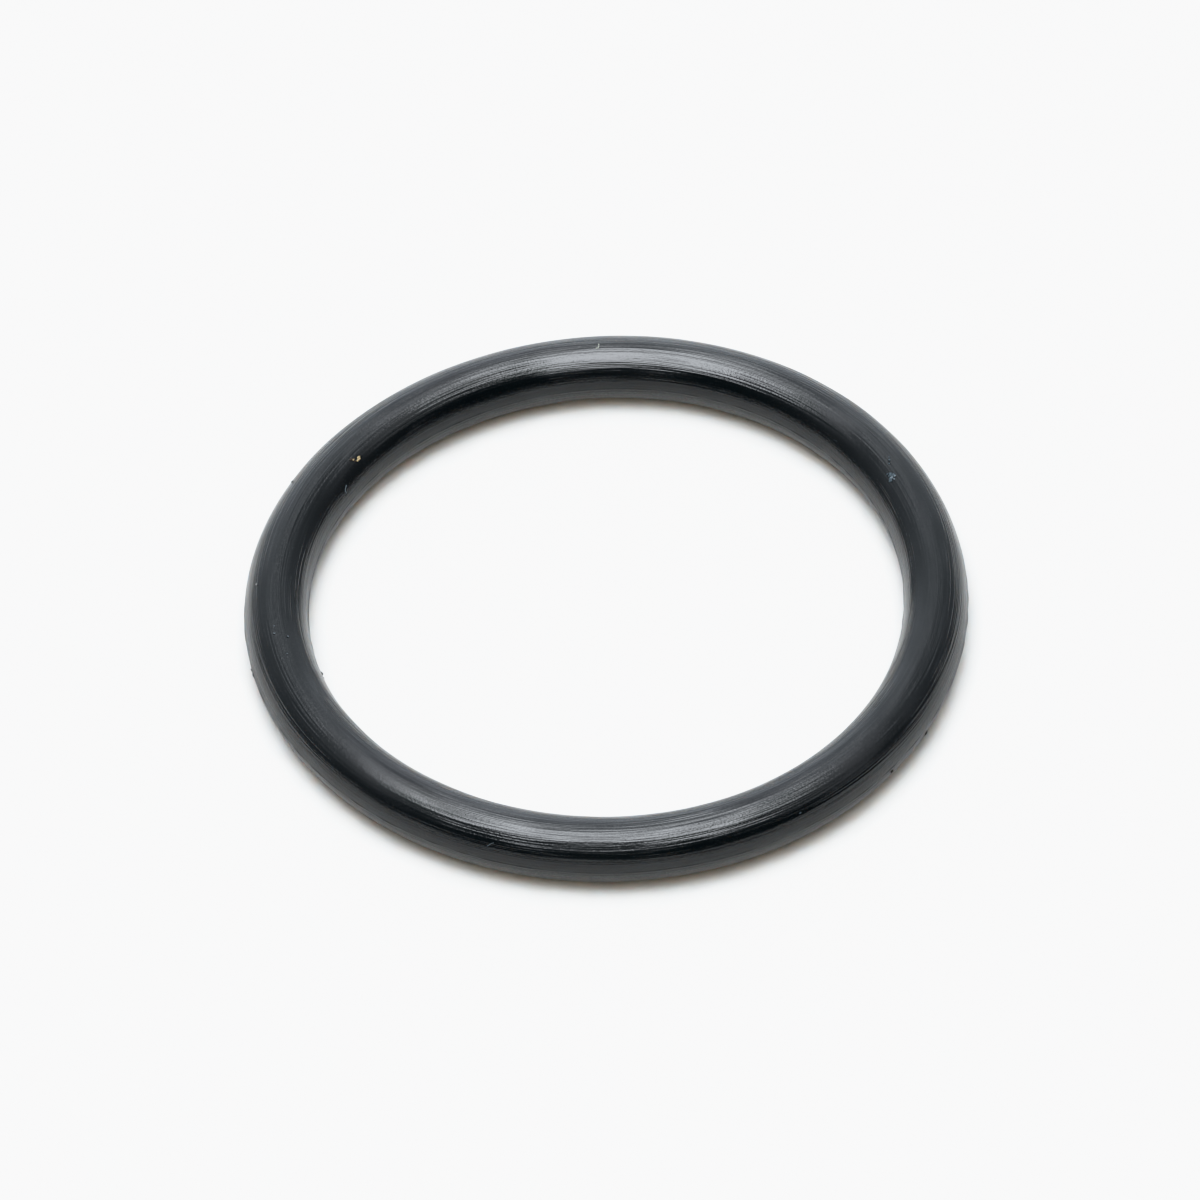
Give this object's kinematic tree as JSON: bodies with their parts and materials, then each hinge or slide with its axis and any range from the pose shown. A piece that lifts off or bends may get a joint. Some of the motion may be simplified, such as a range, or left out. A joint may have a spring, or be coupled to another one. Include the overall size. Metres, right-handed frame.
{
  "type": "rubber o-ring",
  "caption": "Round black rubber sealing ring of solid round section, moulded in one piece, that seals between a shaft or plug and its bore, or between two faces.",
  "frame": {"origin": "centre of the ring on its middle plane, where the two mould halves met", "axes": "+Z along the axis of the ring; the ring is the same all the way round, so +X and +Y may point anywhere in its plane"},
  "size_m": [0.039, 0.039, 0.0034],
  "materials": {
    "black_rubber": "satin moulded rubber with fine streaks along the ring"
  },
  "bodies": {
    "root": {"o_ring": "black_rubber"}
  },
  "joints": []
}
